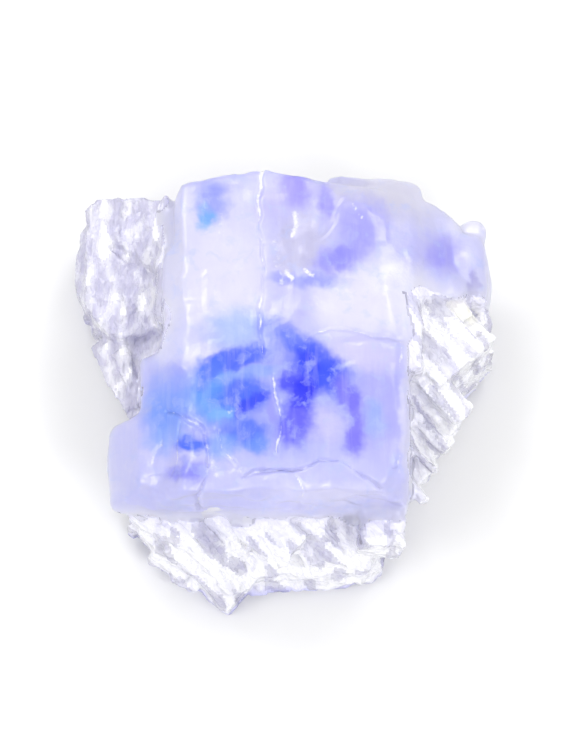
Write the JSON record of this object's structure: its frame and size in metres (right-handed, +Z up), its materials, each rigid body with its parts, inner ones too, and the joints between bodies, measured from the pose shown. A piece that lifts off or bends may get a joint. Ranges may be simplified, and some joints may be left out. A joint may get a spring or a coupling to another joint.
{
  "type": "blue halite crystal specimen",
  "caption": "Intergrown cleaved halite crystals, a milky block with a deep blue centre and clear stepped crystals around its sides, resting flat.",
  "frame": {"origin": "on the ground under the middle of the specimen", "axes": "+Z up out of the cleaved resting face, +X right and +Y away from the viewer of the picture"},
  "size_m": [0.0564, 0.057, 0.0277],
  "materials": {
    "halite": "glossy"
  },
  "bodies": {
    "root": {"halite_crystal": "halite"}
  },
  "joints": []
}
